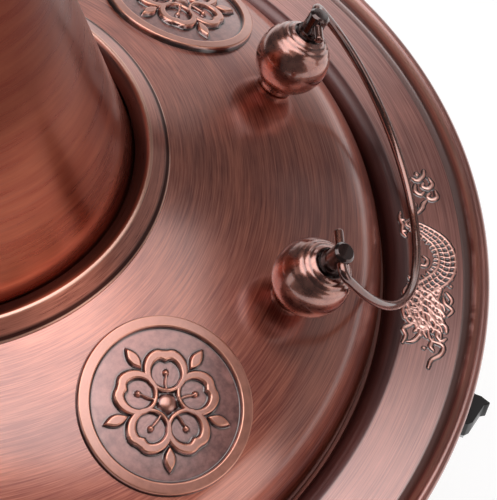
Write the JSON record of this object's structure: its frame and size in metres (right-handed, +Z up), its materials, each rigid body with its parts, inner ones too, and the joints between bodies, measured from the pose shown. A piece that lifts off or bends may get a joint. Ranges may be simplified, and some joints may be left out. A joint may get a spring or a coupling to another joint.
{
  "type": "chimney hot pot",
  "caption": "Charcoal hot pot of spun copper: a ring basin round a tapered chimney on a stove foot, with a lift-off ring lid, folding wire bails, chimney cap and ash door.",
  "frame": {"origin": "middle of the foot ring, on the table", "axes": "+Z up along the chimney; +X through the middle of one lid bail; the ash door faces -Y"},
  "size_m": [0.3599, 0.36, 0.3229],
  "materials": {
    "brushed_copper": "antique copper, brushed in circles",
    "chimney_copper": "antique copper, cross brushed",
    "polished_copper": "antique copper, turned and polished",
    "relief_copper": "antique copper, relief rubbed bright",
    "dark_copper": "dark antique copper",
    "bronzed_wire": "bronzed wire, worn bright on its top",
    "steel": "satin steel",
    "cast_iron": "rough cast",
    "black_bakelite": "moulded, semi-gloss"
  },
  "bodies": {
    "root": {"foot_ring": "dark_copper", "stove_drum": "brushed_copper", "stove_floor": "dark_copper", "grate_shelf": "steel", "grate": "cast_iron", "fire_pot": "chimney_copper", "chimney": "chimney_copper", "basin": "brushed_copper", "ear_right": "black_bakelite", "ear_left": "black_bakelite", "ear_bracket_right": "steel", "ear_bracket_left": "steel", "ear_screws": "steel", "ear_rivets": "steel", "door_hinge": "dark_copper", "door_hinge_pin": "steel"},
    "lid": {"lid_shell": "brushed_copper", "lid_skirt": "dark_copper", "lid_collar": "polished_copper", "medallion_1": "relief_copper", "medallion_2": "relief_copper", "medallion_3": "relief_copper", "medallion_4": "relief_copper", "ball_1": "polished_copper", "ball_2": "polished_copper", "ball_3": "polished_copper", "ball_4": "polished_copper", "eye_post_1": "bronzed_wire", "eye_post_2": "bronzed_wire", "eye_post_3": "bronzed_wire", "eye_post_4": "bronzed_wire", "ball_washers": "steel", "ball_nuts": "steel"},
    "bail_right": {"bail_right": "bronzed_wire"},
    "bail_left": {"bail_left": "bronzed_wire"},
    "cap": {"chimney_cap": "chimney_copper", "cap_knob": "black_bakelite", "cap_screw": "steel"},
    "door": {"ash_door": "brushed_copper", "door_knob": "black_bakelite", "door_knob_screw": "steel"}
  },
  "joints": [
    {"name": "lid_lift", "type": "slide", "parent": "root", "child": "lid", "axis": [0, 0, 1], "range_m": [0, 0.215]},
    {"name": "bail_right_fold", "type": "hinge", "parent": "lid", "child": "bail_right", "pos_m": [0.12115, 0, 0.18946], "axis": [0, -1, 0], "range_deg": [0, 220]},
    {"name": "bail_left_fold", "type": "hinge", "parent": "lid", "child": "bail_left", "pos_m": [-0.12115, 0, 0.18946], "axis": [0, 1, 0], "range_deg": [0, 220]},
    {"name": "cap_lift", "type": "slide", "parent": "root", "child": "cap", "axis": [0, 0, 1], "range_m": [0, 0.05]},
    {"name": "ash_door_swing", "type": "hinge", "parent": "root", "child": "door", "pos_m": [-0.0364, -0.0989, 0.038], "axis": [0, 0, -1], "range_deg": [0, 115]}
  ]
}
